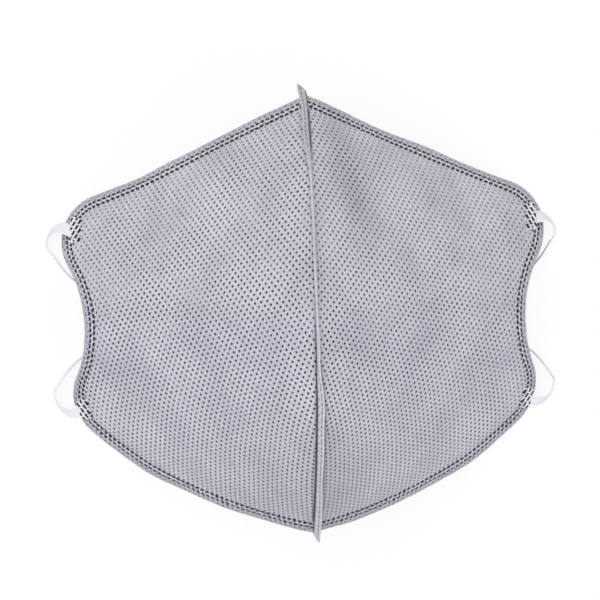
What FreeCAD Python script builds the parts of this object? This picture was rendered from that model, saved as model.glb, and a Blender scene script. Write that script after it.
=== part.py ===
"""Disposable dust mask: two cupped halves joined by a standing centre seam, with two elastic ear loops.

The mask lies face up on its four corners. X runs across it, +Y to the nose, +Z out through its front.
"""

import FreeCAD, Part
import math
import os

V = FreeCAD.Vector

# Outline of one half, seen from the front
NOSE_Y = 62.0  # upper end of the seam line, above the middle of the ear loops' height
CHIN_Y = -69.3  # lower end of the seam line
NOSE_SLOPE = math.radians(24.8)  # how steeply the straight nose edge falls to the side
UPPER_CORNER_R = 16.0
LOWER_CORNER_R = 15.0
CHEEK_X = 66.2  # half the width at the hollow of the side edge
CHEEK_Y = -7.0
CHEEK_R = 40.0  # radius of that hollow
CHIN_R = 147.0  # radius of the chin edge
CHIN_SLOPE = math.radians(11.8)  # slope of the chin edge where it meets the seam

# Height of the cup
CROWN_Y = -6.0  # where the seam line stands furthest forward
NOSE_BEND = 0.0077  # bend of the seam line above and below its crown
CHIN_BEND = 0.0062
CHIN_CURL = 0.00008
SIDE_SLOPE = 1.04  # slope of each half near its side edge
RIDGE_EASE = 0.33  # how much less steep it is beside the seam
RIDGE_WIDTH = 12.0
CORNER_DROOP = 0.00007  # how the corners fall below the cheek
DROOP_Y = 2.5

# Layers, from the front to the face, each (node, thickness)
LAYERS = [
    ("outer_cover", 0.35),
    ("carbon_layer", 0.40),
    ("filter_layer", 0.30),
    ("inner_lining", 0.35),
]
EDGE_WIDTH = 4.0  # fused strip along the rim
EDGE_SINK = 0.25  # how far its front lies below the outer cover
EDGE_THICKNESS = 0.80
SEAM_THICKNESS = 1.0  # the two fused flaps that stand up along the middle
SEAM_HEIGHT = 2.8
SEAM_CLEARANCE = 0.3  # between the seam and each half

# Ear loops: flat elastic
BAND_WIDTH = 4.4
BAND_THICKNESS = 0.9
PAD_WIDTH = 3.6  # welded end of the band, on the front of the rim
PAD_LENGTH = 8.0
PAD_THICKNESS = 0.6
UPPER_PAD_Y = 22.6
LOWER_PAD_Y = -32.0
UPPER_PAD_INSET = 4.0  # from the side edge to the middle of the welded end
LOWER_PAD_INSET = 2.55
UPPER_PAD_TURN = 8.0  # degrees, along the side edge
LOWER_PAD_TURN = -14.0
PAD_GAP = 0.5  # between a welded end and the band that leaves it
BAND_LIFT = 0.25  # lower edge of the standing band above the table
LOOP_GAP = 0.7  # between the band at a corner and the free loop
HINGE_X = 75.0  # line through both places where a loop turns under the mask
UPPER_HINGE_Y = 15.5
LOWER_HINGE_Y = -25.5

# The free loop between those places, tucked under the mask
LOOP_POINTS = [
    (69.8, 6.9),
    (59.5, 2.6),
    (47.5, 6.5),
    (35.9, 11.3),
    (24.4, 6.5),
    (19.6, -5.0),
    (24.4, -16.5),
    (35.9, -21.3),
    (47.5, -16.5),
    (59.5, -12.6),
    (69.8, -16.9),
]

GRID_X = (-1.0, 80.0)  # where the surfaces' points lie
GRID_Y = (-76.0, 68.0)
GRID_X_STEPS = 18
GRID_Y_STEPS = 32
SEAM_STEPS = 24
RIM_STEPS = 400
TALL = 200.0  # taller than the mask, for cutting prisms

STACK = sum(thickness for _, thickness in LAYERS)
HALF_START = SEAM_THICKNESS / 2 + SEAM_CLEARANCE
BAND_Z = BAND_LIFT + BAND_WIDTH / 2


def seam_drop(y):
    """How far the seam line lies below its crown, and its slope."""
    v = y - CROWN_Y
    if v > 0:
        return NOSE_BEND * v * v, 2 * NOSE_BEND * v
    return CHIN_BEND * v * v - CHIN_CURL * v**3, 2 * CHIN_BEND * v - 3 * CHIN_CURL * v * v


def cup(x, y):
    """A point on the front of the right half, below the crown, with its normal."""
    drop, drop_y = seam_drop(y)
    ease = math.exp(-x / RIDGE_WIDTH)
    side = SIDE_SLOPE * x - RIDGE_EASE * RIDGE_WIDTH * (1 - ease)
    reach = y - DROOP_Y
    z = -drop - side - CORNER_DROOP * x * reach * reach
    slope_x = SIDE_SLOPE - RIDGE_EASE * ease + CORNER_DROOP * reach * reach
    slope_y = drop_y + 2 * CORNER_DROOP * x * reach
    return V(x, y, z), V(slope_x, slope_y, 1).normalize()


def front(x, y):
    """The same point above the table."""
    point, normal = cup(x, y)
    return point + V(0, 0, CROWN_Z), normal


def steps(start, end, count):
    return [start + (end - start) * i / count for i in range(count + 1)]


def sheet_face(depth):
    """The surface that lies depth under the front, wider than the half."""
    rows = []
    for x in steps(*GRID_X, GRID_X_STEPS):
        spots = [front(x, y) for y in steps(*GRID_Y, GRID_Y_STEPS)]
        rows.append([point - normal * depth for point, normal in spots])
    surface = Part.BSplineSurface()
    surface.interpolate(rows)
    return surface.toShape()


def slab(top, bottom):
    """The solid between two depths under the front."""
    upper = sheet_face(top)
    lower = sheet_face(bottom)
    sides = [Part.makeRuledSurface(a, b) for a, b in zip(upper.Edges, lower.Edges)]
    shell = Part.Shell([upper, lower] + sides)
    shell.sewShape()
    solid = Part.Solid(shell)
    return solid if solid.Volume > 0 else solid.reversed()


def circle_meeting_line(start, direction, centre, distance):
    """The point of a line, past its start, that lies at a distance from a centre."""
    along = (centre - start).dot(direction)
    foot = start + direction * along
    return foot - direction * math.sqrt(distance**2 - (centre - foot).Length ** 2)


def circles_meeting(a, radius_a, b, radius_b):
    """The point to the left of the way from a to b at these distances from both."""
    way = b - a
    along = (way.Length**2 + radius_a**2 - radius_b**2) / (2 * way.Length)
    across = math.sqrt(radius_a**2 - along**2)
    way.normalize()
    return a + way * along + V(way.y, -way.x, 0) * across


def arc(centre, start, end):
    middle = ((start - centre) + (end - centre)).normalize() * (start - centre).Length
    return Part.Arc(start, centre + middle, end).toShape()


def toward(a, b):
    return (b - a).normalize()


def outline(inset):
    """The right half's outline, inset along its three free edges."""
    along_nose = V(math.cos(NOSE_SLOPE), -math.sin(NOSE_SLOPE), 0)
    inward = V(-math.sin(NOSE_SLOPE), -math.cos(NOSE_SLOPE), 0)
    nose = V(0, NOSE_Y, 0)
    cheek = V(CHEEK_X + CHEEK_R, CHEEK_Y, 0)
    chin = V(0, CHIN_Y, 0) + V(-math.sin(CHIN_SLOPE), math.cos(CHIN_SLOPE), 0) * CHIN_R
    upper = circle_meeting_line(
        nose + inward * UPPER_CORNER_R, along_nose, cheek, CHEEK_R + UPPER_CORNER_R
    )
    lower = circles_meeting(chin, CHIN_R - LOWER_CORNER_R, cheek, CHEEK_R + LOWER_CORNER_R)
    chin_end = V(HALF_START, chin.y - math.sqrt((CHIN_R - inset) ** 2 - (HALF_START - chin.x) ** 2), 0)
    chin_side = lower + toward(chin, lower) * (LOWER_CORNER_R - inset)
    low_cheek = lower + toward(lower, cheek) * (LOWER_CORNER_R - inset)
    high_cheek = upper + toward(upper, cheek) * (UPPER_CORNER_R - inset)
    nose_side = upper - inward * (UPPER_CORNER_R - inset)
    nose_end = nose_side - along_nose * ((nose_side.x - HALF_START) / along_nose.x)
    return Part.Wire(
        [
            arc(chin, chin_end, chin_side),
            arc(lower, chin_side, low_cheek),
            arc(cheek, low_cheek, high_cheek),
            arc(upper, high_cheek, nose_side),
            Part.LineSegment(nose_side, nose_end).toShape(),
            Part.LineSegment(nose_end, chin_end).toShape(),
        ]
    )


def beside_edge(y, inset):
    """The place at this height that lies inset from the right half's side edge."""
    level = Part.LineSegment(V(CHEEK_X / 2, y, 0), V(TALL, y, 0)).toShape()
    return V(outline(0).distToShape(level)[1][0][0].x - inset, y, 0)


def rest_height():
    """How far the crown stands above the table when the corners of the rim touch it."""
    depth = EDGE_SINK + EDGE_THICKNESS
    rim = [cup(spot.x, spot.y) for spot in outline(0).discretize(RIM_STEPS)]
    return -min(point.z - depth / normal.z for point, normal in rim)


CROWN_Z = rest_height()


def prism(wire):
    column = Part.Face(wire).extrude(V(0, 0, TALL))
    column.translate(V(0, 0, -TALL / 4))
    return column


def layers():
    """The four sheets of the right half, inside the fused edge."""
    inside = prism(outline(EDGE_WIDTH))
    made = {}
    depth = 0.0
    for name, thickness in LAYERS:
        made[name] = slab(depth, depth + thickness).common(inside)
        depth += thickness
    return made


def edge_weld():
    strip = slab(EDGE_SINK, EDGE_SINK + EDGE_THICKNESS)
    return strip.common(prism(outline(0))).cut(prism(outline(EDGE_WIDTH)))


def pad(place, turn, cover):
    """The welded end of a band, lying on the fused edge and on the cover beside it."""
    block = Part.makeBox(PAD_WIDTH, PAD_LENGTH, TALL, V(-PAD_WIDTH / 2, -PAD_LENGTH / 2, -TALL / 4))
    block.rotate(V(0, 0, 0), V(0, 0, 1), turn)
    block.translate(place)
    return slab(EDGE_SINK - PAD_THICKNESS, EDGE_SINK).common(block).cut(cover)


def band_section(x, y, z, heading, roll):
    """The band's rectangle where it passes this place."""
    ahead = V(math.cos(math.radians(heading)), math.sin(math.radians(heading)), 0)
    level = V(-ahead.y, ahead.x, 0)
    tilt = math.radians(roll)
    wide = (level * math.cos(tilt) + V(0, 0, math.sin(tilt))) * (BAND_WIDTH / 2)
    thick = (V(0, 0, math.cos(tilt)) - level * math.sin(tilt)) * (BAND_THICKNESS / 2)
    middle = V(x, y, z)
    corners = [middle - wide - thick, middle + wide - thick, middle + wide + thick, middle - wide + thick]
    return Part.makePolygon(corners + corners[:1])


def band_end(place, hinge_y):
    """A band from its welded end, turning on its edge and toward the cheek beyond the corner."""
    way = math.copysign(1, hinge_y - place.y)
    x = place.x + PAD_WIDTH / 2 + PAD_GAP
    z = front(x, place.y)[0].z + BAND_THICKNESS
    sections = [
        band_section(x, place.y, z, 0, way * 35),
        band_section(HINGE_X - 1.5, place.y, (z + BAND_Z) / 2, 0, way * 45),
        band_section(HINGE_X + 1.1, hinge_y - way * 4.0, BAND_Z + 0.5, way * 62, way * 65),
        band_section(HINGE_X, hinge_y, BAND_Z, way * 120, way * 90),
    ]
    return Part.makeLoft(sections, True, False)


def rounded_path(points):
    """Straight runs joined by tangent arcs, with the radii of the arcs."""
    edges = []
    radii = []
    last = points[0]
    for before, corner, after in zip(points, points[1:], points[2:]):
        back = toward(corner, before)
        ahead = toward(corner, after)
        half_turn = (math.pi - back.getAngle(ahead)) / 2
        cut = 0.45 * min((corner - before).Length, (after - corner).Length)
        radius = cut / math.tan(half_turn)
        start = corner + back * cut
        end = corner + ahead * cut
        centre = corner + (back + ahead).normalize() * (radius / math.cos(half_turn))
        edges += [Part.LineSegment(last, start).toShape(), arc(centre, start, end)]
        radii.append(radius)
        last = end
    edges.append(Part.LineSegment(last, points[-1]).toShape())
    return Part.Wire(edges), radii


def ear_loop():
    """The free loop: a flat band standing on its edge along its path."""
    upper = V(HINGE_X, UPPER_HINGE_Y, 0)
    lower = V(HINGE_X, LOWER_HINGE_Y, 0)
    points = [V(x, y, 0) for x, y in LOOP_POINTS]
    clear = LOOP_GAP + BAND_THICKNESS / 2
    first = upper + toward(upper, points[0]) * clear
    last = lower + toward(lower, points[-1]) * clear
    path, radii = rounded_path([first] + points + [last])
    print("ear loop radii", [round(radius, 1) for radius in radii])
    print("ear loop length", round(path.Length, 1))
    plan = Part.Face(path.makeOffset2D(BAND_THICKNESS / 2))
    loop = plan.extrude(V(0, 0, BAND_WIDTH))
    print("volume over section times length", loop.Volume / (path.Length * BAND_WIDTH * BAND_THICKNESS))
    loop.translate(V(0, 0, BAND_LIFT))
    return loop


def seam_curve(height):
    """The seam line raised by a height square to itself."""
    points = []
    for y in steps(CHIN_Y, NOSE_Y, SEAM_STEPS):
        drop, slope = seam_drop(y)
        points.append(V(0, y, CROWN_Z - drop) + V(0, slope, 1).normalize() * height)
    curve = Part.BSplineCurve()
    curve.interpolate(points)
    return curve.toShape(), points


def centre_seam():
    """The fused flaps of both halves, standing up along the middle."""
    outer, outer_points = seam_curve(SEAM_HEIGHT)
    inner, inner_points = seam_curve(-STACK)
    nose = Part.LineSegment(outer_points[-1], inner_points[-1]).toShape()
    chin = Part.LineSegment(inner_points[0], outer_points[0]).toShape()
    profile = Part.Face(Part.Wire([outer, nose, inner, chin]))
    profile.translate(V(-SEAM_THICKNESS / 2, 0, 0))
    return profile.extrude(V(SEAM_THICKNESS, 0, 0))


def right_half():
    made = layers()
    made["edge_weld"] = edge_weld()
    upper = beside_edge(UPPER_PAD_Y, UPPER_PAD_INSET)
    lower = beside_edge(LOWER_PAD_Y, LOWER_PAD_INSET)
    made["upper_band_weld"] = pad(upper, UPPER_PAD_TURN, made["outer_cover"])
    made["lower_band_weld"] = pad(lower, LOWER_PAD_TURN, made["outer_cover"])
    made["upper_band_end"] = band_end(upper, UPPER_HINGE_Y)
    made["lower_band_end"] = band_end(lower, LOWER_HINGE_Y)
    made["ear_loop"] = ear_loop()
    return made


def main():
    """Writes every piece, moved so that the mask's middle stands over the origin."""
    os.makedirs("parts", exist_ok=True)
    seam = centre_seam()
    box = seam.optimalBoundingBox()
    middle = (box.YMin + box.YMax) / 2
    nodes = {"centre_seam": seam}
    for name, shape in right_half().items():
        nodes[name + "_right"] = shape
        nodes[name + "_left"] = shape.mirror(V(0, 0, 0), V(1, 0, 0))
    for name, shape in nodes.items():
        shape.translate(V(0, -middle, 0))
        shape.exportStep("parts/" + name + ".step")
    print("moved along Y by", round(-middle, 3), "crown above the table", round(CROWN_Z, 3))


main()
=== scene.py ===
"""Looks of a disposable dust mask: embossed grey non-woven fabric, dashed weld lines along the rim, a
standing centre seam and two flat elastic ear loops.

Lengths are in millimetres until a mesh is made, then in metres.
"""

import bpy
import math
import numpy as np
from mathutils import Matrix, Vector


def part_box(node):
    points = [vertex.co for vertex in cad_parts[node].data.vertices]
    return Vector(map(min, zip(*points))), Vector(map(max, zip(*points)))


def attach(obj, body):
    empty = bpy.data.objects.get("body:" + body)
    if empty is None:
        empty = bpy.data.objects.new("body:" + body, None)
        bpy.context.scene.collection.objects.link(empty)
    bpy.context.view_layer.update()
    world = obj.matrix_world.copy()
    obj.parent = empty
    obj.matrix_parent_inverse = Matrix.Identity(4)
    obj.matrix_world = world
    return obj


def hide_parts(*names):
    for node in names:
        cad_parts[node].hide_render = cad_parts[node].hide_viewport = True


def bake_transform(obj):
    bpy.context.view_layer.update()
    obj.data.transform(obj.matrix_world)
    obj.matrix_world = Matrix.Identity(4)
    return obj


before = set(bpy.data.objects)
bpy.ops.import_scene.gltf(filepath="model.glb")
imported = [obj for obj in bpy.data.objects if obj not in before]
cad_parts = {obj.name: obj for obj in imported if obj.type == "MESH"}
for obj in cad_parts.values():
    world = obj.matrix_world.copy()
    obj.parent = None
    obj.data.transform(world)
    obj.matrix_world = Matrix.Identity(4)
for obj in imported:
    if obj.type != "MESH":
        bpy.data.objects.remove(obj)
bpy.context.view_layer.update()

MM = 0.001

# The shape of the halves, as the solids have it
NOSE_Y, CHIN_Y = 62.0, -69.3
NOSE_SLOPE = math.radians(24.8)
UPPER_CORNER_R, LOWER_CORNER_R = 16.0, 15.0
CHEEK_X, CHEEK_Y, CHEEK_R = 66.2, -7.0, 40.0
CHIN_R, CHIN_SLOPE = 147.0, math.radians(11.8)
CROWN_Y = -6.0
NOSE_BEND, CHIN_BEND, CHIN_CURL = 0.0077, 0.0062, 0.00008
SIDE_SLOPE, RIDGE_EASE, RIDGE_WIDTH = 1.04, 0.33, 12.0
CORNER_DROOP, DROOP_Y = 0.00007, 2.5
STACK = 1.4  # all four layers
EDGE_SINK, EDGE_THICKNESS = 0.25, 0.8
SEAM_HEIGHT = 2.8
SEAM_TIP, CHIN_TIP = 1.6, 0.3  # how far the seam's pointed ends reach past the edges

# The elastic, as the solids have it
BAND_WIDTH, BAND_THICKNESS = 4.4, 0.9
PAD_WIDTH, PAD_LENGTH = 3.6, 8.0
UPPER_PAD, LOWER_PAD = (67.7, 22.6), (66.2, -32.0)
UPPER_PAD_TURN, LOWER_PAD_TURN = math.radians(8), math.radians(-14)
PAD_GAP = 0.5
LOWER_PAD_TRIM = 1.6  # the lower welds stop short of the rounded corner
HINGE_X, UPPER_HINGE_Y, LOWER_HINGE_Y = 75.0, 15.5, -25.5
BAND_Z = 0.25 + BAND_WIDTH / 2
UPPER_SWELL, LOWER_SWELL = 1.1, -0.9  # how far past its hinge line each band turns under
LOOP_POINTS = [
    (69.8, 6.9),
    (59.5, 2.6),
    (47.5, 6.5),
    (35.9, 11.3),
    (24.4, 6.5),
    (19.6, -5.0),
    (24.4, -16.5),
    (35.9, -21.3),
    (47.5, -16.5),
    (59.5, -12.6),
    (69.8, -16.9),
]

# The fabric
DOT_ACROSS, DOT_UP = 2.29, 2.53  # spacing of the embossed dots, which have another in the middle of each four
DOT_WIDE, DOT_TALL = 0.75, 0.79
WEAVE_TILT = 0.225  # how much the rows fall from the seam to the side, at the crown
SEAM_START = 0.4  # where a half's fabric meets the standing seam
WELD_LINES = (1.75, 2.85)  # dashed lines, in from the rim
WELD_PITCH = 1.6
PAD_ROWS, PAD_PITCH, PAD_SLANT = 1.25, 1.8, 0.42  # slanted dashes through the ends of the elastic
SEAM_DASHES = 2.15  # height of the standing seam's own weld line
COVER_START = 3.3  # where the cover comes out of the fused strip
STRIP_WIDTH = 3.9
SEAM_PITCH = 1.5  # of the standing seam's own dashes
FLAP_POINTS = 19  # up each face of the standing seam
RIM_STEP = 0.2
POWER_DEGREE = 9  # of the polynomials between the mask and its flat cloth

# The photograph's view
CAMERA_DISTANCE = 2200.0
CAMERA_YAW, CAMERA_PITCH, CAMERA_ROLL = math.radians(2.93), math.radians(2.09), math.radians(1.36)
CAMERA_ASIDE, CAMERA_ABOVE = -2.8, 1.0
LENS, LENS_DISTANCE = 447, 2197  # this lens frames the mask from this far
TABLE_GLOW = 0.88  # how much of the table's white doesn't come from the lamps


def seam_drop(y):
    """How far the seam line lies below its crown, and its slope."""
    v = y - CROWN_Y
    nose = NOSE_BEND * v * v
    chin = CHIN_BEND * v * v - CHIN_CURL * v**3
    return np.where(v > 0, nose, chin), np.where(
        v > 0, 2 * NOSE_BEND * v, 2 * CHIN_BEND * v - 3 * CHIN_CURL * v * v
    )


SEAM_LOW, SEAM_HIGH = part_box("centre_seam")
CROWN_Z = SEAM_HIGH.z / MM - SEAM_HEIGHT
CHIN_DIP = seam_drop(CHIN_Y)[1]
SHIFT_Y = SEAM_LOW.y / MM - (CHIN_Y + SEAM_HEIGHT * CHIN_DIP / math.hypot(CHIN_DIP, 1))


def front(x, y):
    """Points on the front of the right half, with their normals."""
    drop, drop_y = seam_drop(y)
    ease = np.exp(-x / RIDGE_WIDTH)
    side = SIDE_SLOPE * x - RIDGE_EASE * RIDGE_WIDTH * (1 - ease)
    reach = y - DROOP_Y
    points = np.stack([x, y, CROWN_Z - drop - side - CORNER_DROOP * x * reach**2], -1)
    slope_x = SIDE_SLOPE - RIDGE_EASE * ease + CORNER_DROOP * reach**2
    slope_y = drop_y + 2 * CORNER_DROOP * x * reach
    normals = np.stack([slope_x, slope_y, np.ones_like(x)], -1)
    return points, normals / np.linalg.norm(normals, axis=-1, keepdims=True)


def smooth(low, high, value):
    t = np.clip((value - low) / (high - low), 0, 1)
    return t * t * (3 - 2 * t)


def waves(x, y, size, seed):
    """A smooth field between about -1 and 1, with bumps of this size."""
    random = np.random.default_rng(seed)
    total = np.zeros_like(x)
    for _ in range(9):
        angle = random.uniform(0, 2 * math.pi)
        pace = 2 * math.pi / (size * random.uniform(1.2, 2.6))
        total = total + np.sin(pace * (x * math.cos(angle) + y * math.sin(angle)) + random.uniform(0, 6.3))
    return total / 4.5


def toward(a, b):
    return (b - a) / np.linalg.norm(b - a)


def run_of_arc(centre, radius, start, end, bulge):
    """Points of an arc between two directions from its centre, and which way the mask's outside lies."""
    first, last = math.atan2(start[1], start[0]), math.atan2(end[1], end[0])
    last = first + (last - first + math.pi) % (2 * math.pi) - math.pi
    angle = np.linspace(first, last, int(radius * abs(last - first) / RIM_STEP) + 2)[:-1]
    outward = np.stack([np.cos(angle), np.sin(angle)], -1)
    return centre + outward * radius, outward * bulge


def rim_line():
    """Points along the right half's free edge from chin to nose, with outward directions and the way."""
    along_nose = np.array([math.cos(NOSE_SLOPE), -math.sin(NOSE_SLOPE)])
    inward = np.array([-math.sin(NOSE_SLOPE), -math.cos(NOSE_SLOPE)])
    cheek = np.array([CHEEK_X + CHEEK_R, CHEEK_Y])
    chin = np.array([0, CHIN_Y]) + np.array([-math.sin(CHIN_SLOPE), math.cos(CHIN_SLOPE)]) * CHIN_R
    start = np.array([0, NOSE_Y]) + inward * UPPER_CORNER_R
    foot = start + along_nose * ((cheek - start) @ along_nose)
    far = (CHEEK_R + UPPER_CORNER_R) ** 2 - (cheek - foot) @ (cheek - foot)
    upper = foot - along_nose * math.sqrt(far)
    way = toward(chin, cheek)
    gap = np.linalg.norm(cheek - chin)
    ra, rb = CHIN_R - LOWER_CORNER_R, CHEEK_R + LOWER_CORNER_R
    along = (gap**2 + ra**2 - rb**2) / (2 * gap)
    lower = chin + way * along + np.array([way[1], -way[0]]) * math.sqrt(ra**2 - along**2)
    chin_end = np.array([SEAM_START, chin[1] - math.sqrt(CHIN_R**2 - (SEAM_START - chin[0]) ** 2)])
    runs = [
        run_of_arc(chin, CHIN_R, chin_end - chin, lower - chin, 1),
        run_of_arc(lower, LOWER_CORNER_R, lower - chin, cheek - lower, 1),
        run_of_arc(cheek, CHEEK_R, lower - cheek, upper - cheek, -1),
        run_of_arc(upper, UPPER_CORNER_R, cheek - upper, -inward, 1),
    ]
    nose_side = upper - inward * UPPER_CORNER_R
    nose_end = nose_side - along_nose * ((nose_side[0] - SEAM_START) / along_nose[0])
    share = np.linspace(0, 1, int(np.linalg.norm(nose_end - nose_side) / RIM_STEP))[:, None]
    runs.append((nose_side + (nose_end - nose_side) * share, np.repeat(-inward[None], len(share), 0)))
    points, outward = (np.concatenate([run[i] for run in runs]) for i in (0, 1))
    steps = np.linalg.norm(np.diff(points, axis=0), axis=1)
    return points, outward, np.concatenate([[0], np.cumsum(steps)])


RIM, RIM_OUT, RIM_WAY = rim_line()


def rim_distance(x, y):
    """How far places lie inside the rim, seen from the front, and the nearest rim point of each."""
    spots = np.stack([x, y], -1)
    nearest = np.empty(len(spots), int)
    for start in range(0, len(spots), 4000):
        block = spots[start : start + 4000]
        far = (block**2).sum(1)[:, None] + (RIM**2).sum(1)[None] - 2 * block @ RIM.T
        nearest[start : start + 4000] = far.argmin(1)
    return ((RIM[nearest] - spots) * RIM_OUT[nearest]).sum(1), nearest


def keep_inside(x, y, inset):
    """Moves places beyond the inset rim or the seam to them, and says which were inside."""
    inside, nearest = rim_distance(x, y)
    out = inside < inset
    edge = RIM[nearest] - RIM_OUT[nearest] * inset
    within = ~out & (x >= SEAM_START)
    x, y = np.where(out, edge[:, 0], x), np.where(out, edge[:, 1], y)
    return np.maximum(x, SEAM_START), y, within, np.maximum(inside, inset)


def lay_flat(points, triangles, guess, rounds=80):
    """The flat places of a curved sheet's points with the least stretch and shear."""
    corner = points[triangles]
    first, second = corner[:, 1] - corner[:, 0], corner[:, 2] - corner[:, 0]
    length = np.linalg.norm(first, axis=1)
    along = (first * second).sum(1) / length
    across = np.linalg.norm(np.cross(first, second), axis=1) / length
    own = np.zeros((len(triangles), 3, 2))
    own[:, 1, 0], own[:, 2, 0], own[:, 2, 1] = length, along, across
    stiffness = np.zeros((len(points), len(points)))
    edges = []
    for i in range(3):
        a, b, c = i, (i + 1) % 3, (i + 2) % 3
        u, v = own[:, a] - own[:, c], own[:, b] - own[:, c]
        weight = (u * v).sum(1) / np.abs(u[:, 0] * v[:, 1] - u[:, 1] * v[:, 0]) / 2
        edges.append((a, b, weight, own[:, a] - own[:, b]))
        for p, q, sign in ((a, a, 1), (b, b, 1), (a, b, -1), (b, a, -1)):
            np.add.at(stiffness, (triangles[:, p], triangles[:, q]), sign * weight)
    stiffness[0] = 0
    stiffness[0, 0] = 1
    solve = np.linalg.inv(stiffness)
    flat = guess
    for _ in range(rounds):
        real, turned = np.zeros(len(triangles)), np.zeros(len(triangles))
        for a, b, weight, side in edges:
            now = flat[triangles[:, a]] - flat[triangles[:, b]]
            real += weight * (side * now).sum(1)
            turned += weight * (side[:, 0] * now[:, 1] - side[:, 1] * now[:, 0])
        angle = np.arctan2(turned, real)
        cos, sin = np.cos(angle), np.sin(angle)
        pull = np.zeros((len(points), 2))
        for a, b, weight, side in edges:
            turn = np.stack([cos * side[:, 0] - sin * side[:, 1], sin * side[:, 0] + cos * side[:, 1]], -1)
            np.add.at(pull, triangles[:, a], weight[:, None] * turn)
            np.add.at(pull, triangles[:, b], -weight[:, None] * turn)
        pull[0] = 0
        flat = solve @ pull
    return flat


def powers(a, b):
    """The terms of a polynomial of two places, each scaled to about one."""
    a, b = a / 100, b / 80
    pairs = [(i, j) for i in range(POWER_DEGREE + 1) for j in range(POWER_DEGREE + 1 - i)]
    return np.stack([a**i * b**j for i, j in pairs], -1)


def weave_maps():
    """What turns places on the mask into places on the flat cloth and back, with the cloth's rows level."""
    step = 3.2
    xs, ys = np.arange(0, 80, step), np.arange(-76, 68, step)
    x, y = (grid.ravel() for grid in np.meshgrid(xs, ys, indexing="ij"))
    number = np.arange(len(x)).reshape(len(xs), len(ys))
    quads = np.stack([number[:-1, :-1], number[1:, :-1], number[1:, 1:], number[:-1, 1:]], -1).reshape(-1, 4)
    inside = rim_distance(x[quads].mean(1), y[quads].mean(1))[0] > -2
    triangles = np.concatenate([quads[inside][:, [0, 1, 2]], quads[inside][:, [0, 2, 3]]])
    used, triangles = np.unique(triangles, return_inverse=True)
    x, y = x[used], y[used]
    flat = lay_flat(front(x, y)[0], triangles.reshape(-1, 3), np.stack([x * 1.4, y], -1))
    to_flat = np.linalg.lstsq(powers(x, y), flat, rcond=None)[0]
    here = np.array([12.0, 12.0 + 1.0]), np.array([0.0, -WEAVE_TILT])
    crown = powers(*here) @ to_flat
    row = toward(crown[0], crown[1])
    level = np.array([[row[0], -row[1]], [row[1], row[0]]])
    flat = (flat - crown[0]) @ level
    to_flat = np.linalg.lstsq(powers(x, y), flat, rcond=None)[0]
    to_mask = np.linalg.lstsq(powers(*flat.T), np.stack([x, y], -1), rcond=None)[0]
    return to_flat, to_mask


TO_FLAT, TO_MASK = weave_maps()


def grid_faces(rows, columns, closed=False):
    number = np.arange(rows * columns).reshape(rows, columns)
    after = np.roll(number, -1, 1) if closed else number[:, 1:]
    here = number if closed else number[:, :-1]
    return np.stack([here[:-1], here[1:], after[1:], after[:-1]], -1).reshape(-1, 4)


def settle(points, side):
    """Lets the limp corners and chin lie as they fell, up to about 1.4 mm from the symmetrical solids."""
    x, y = np.abs(points[:, 0]), points[:, 1]

    def hump(middle, width):
        return np.exp(-(((x - middle) / width) ** 2))

    low, high = smooth(-18, -48, y), smooth(2, 30, y)
    rise = low * (0.8 * hump(0, 14) - 1.1 * hump(50, 18))
    if side < 0:
        rise, out = rise - 1.3 * high * hump(46, 18), 0 * x
    else:
        rise, out = rise + 0.9 * high * hump(60, 18), 1.4 * smooth(50, 74, x) * smooth(10, 26, y)
    return points + np.stack([out, rise, 0 * x], -1)


def new_piece(name, points, faces, side=1, uv=None, marks=None, fallen=True):
    """A smooth mesh from right-half millimetres; side -1 mirrors it to the left."""
    points = settle(points, side) if fallen else points
    points = (points * [side, 1, 1] + [0, SHIFT_Y, 0]) * MM
    faces = np.asarray(faces)
    if side < 0:
        faces = faces[:, ::-1]
    mesh = bpy.data.meshes.new(name)
    mesh.from_pydata(points.tolist(), [], faces.tolist())
    mesh.validate()
    mesh.polygons.foreach_set("use_smooth", [True] * len(mesh.polygons))
    corner = np.empty(len(mesh.loops), int)
    mesh.loops.foreach_get("vertex_index", corner)
    for label, places in (uv or {}).items():
        layer = mesh.uv_layers.new(name=label)
        layer.data.foreach_set("uv", places[corner].astype(np.float32).ravel())
    for label, values in (marks or {}).items():
        mark = mesh.attributes.new(label, "FLOAT", "POINT")
        mark.data.foreach_set("value", np.asarray(values, np.float32))
    piece = bpy.data.objects.new(name, mesh)
    bpy.context.scene.collection.objects.link(piece)
    return piece


def creases(x, y, side):
    """The soft folds of a half, in millimetres out of its surface."""
    seed = 11 if side > 0 else 12
    height = 0.32 * waves(x, y, 15, seed) + 0.07 * waves(x, y, 6, seed + 4)
    ridge = ((7.8, 51.0), (16.8, 37.5)) if side > 0 else ((3.0, 54.0), (15.0, 34.5))
    (ax, ay), (bx, by) = ridge
    share = np.clip(((x - ax) * (bx - ax) + (y - ay) * (by - ay)) / ((bx - ax) ** 2 + (by - ay) ** 2), 0, 1)
    away = np.hypot(x - ax - share * (bx - ax), y - ay - share * (by - ay))
    height = height + 0.6 * np.exp(-((away / 1.9) ** 2))
    return height - 0.25 * np.exp(-(((y + 0.04 * x) / 2.2) ** 2)) * smooth(3, 14, x)


def emboss(p, q):
    """How deep the cloth is pressed at a flat place: one in the middle of a dot, and little between dots."""
    deep = np.zeros_like(p)
    for shift in (0.0, 0.5):
        across = ((p / DOT_ACROSS + shift) % 1 - 0.5) * DOT_ACROSS / (DOT_WIDE / 2)
        up = ((q / DOT_UP + shift) % 1 - 0.5) * DOT_UP / (DOT_TALL / 2)
        deep = np.maximum(deep, np.exp(-((across**2 + up**2) / 1.6)))
    return deep


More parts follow.
